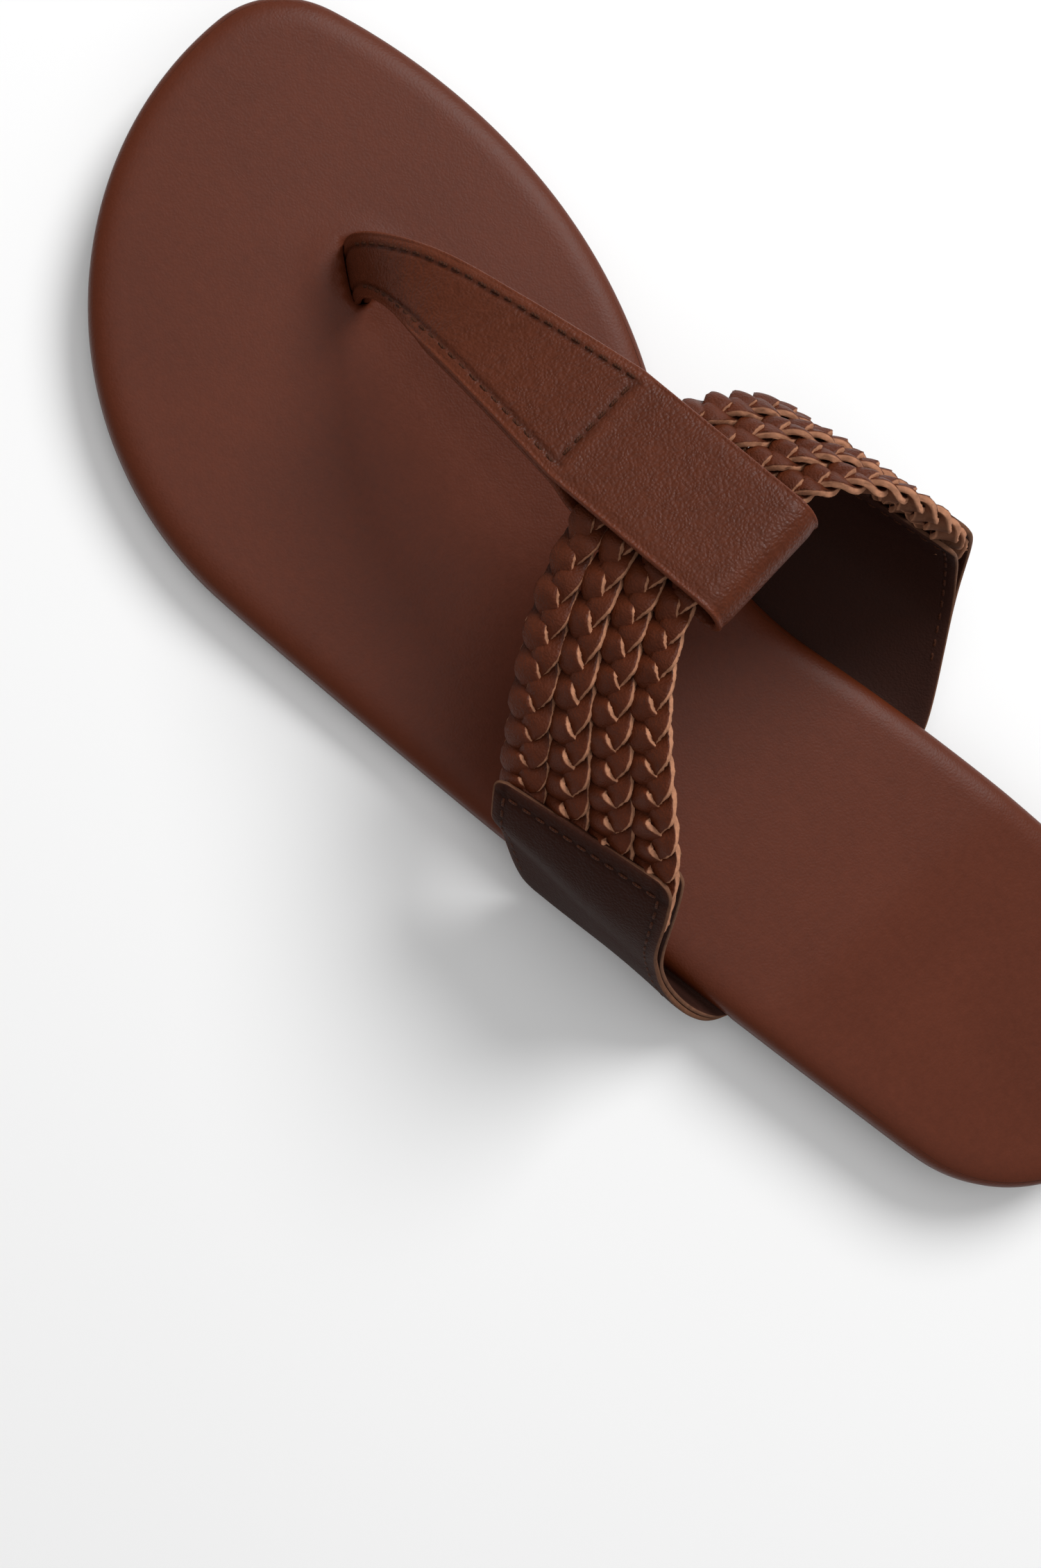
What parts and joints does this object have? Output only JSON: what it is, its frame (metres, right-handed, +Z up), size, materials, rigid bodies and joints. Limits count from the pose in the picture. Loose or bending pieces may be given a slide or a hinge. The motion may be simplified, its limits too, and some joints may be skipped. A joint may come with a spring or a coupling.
{
  "type": "flip flop",
  "caption": "Left leather flip flop: layered sole with a low heel, folded toe thong and plaited straps running from side tab to side tab through the thong's sleeve",
  "frame": {"origin": "on the floor, under the middle of the sandal's box", "axes": "+X towards the toe, +Y towards the outer side of the foot, +Z up"},
  "size_m": [0.2499, 0.0994, 0.0573],
  "materials": {
    "footbed_leather": "smooth",
    "strap_leather": "grained",
    "tab_leather": "grained",
    "lining_leather": "smooth",
    "lace_leather": "grained",
    "sewing_thread": "matte",
    "woven_tape": "matte",
    "sole_rubber": "matte",
    "insole_board": "matte",
    "footbed_foam": "matte"
  },
  "bodies": {
    "sandal": {"outsole": "sole_rubber", "heel_lift": "sole_rubber", "insole_board": "insole_board", "footbed_foam": "footbed_foam", "footbed_cover": "footbed_leather", "toe_anchor": "woven_tape", "outer_side_tab_outer": "tab_leather", "outer_side_tab_lining": "lining_leather", "outer_side_tab_stitching": "sewing_thread", "inner_side_tab_outer": "tab_leather", "inner_side_tab_lining": "lining_leather", "inner_side_tab_stitching": "sewing_thread", "plait_1_lace_a": "lace_leather", "plait_1_lace_b": "lace_leather", "plait_1_lace_c": "lace_leather", "plait_2_lace_a": "lace_leather", "plait_2_lace_b": "lace_leather", "plait_2_lace_c": "lace_leather", "plait_3_lace_a": "lace_leather", "plait_3_lace_b": "lace_leather", "plait_3_lace_c": "lace_leather", "plait_4_lace_a": "lace_leather", "plait_4_lace_b": "lace_leather", "plait_4_lace_c": "lace_leather"},
    "thong": {"thong_strap": "strap_leather", "thong_tape": "woven_tape", "thong_stitching": "sewing_thread"}
  },
  "joints": [
    {"name": "thong_sway", "type": "hinge", "parent": "sandal", "child": "thong", "pos_m": [0.079, -0.005, 0.01], "axis": [0, 0, 1], "range_deg": [-2.5, 2.5]}
  ]
}
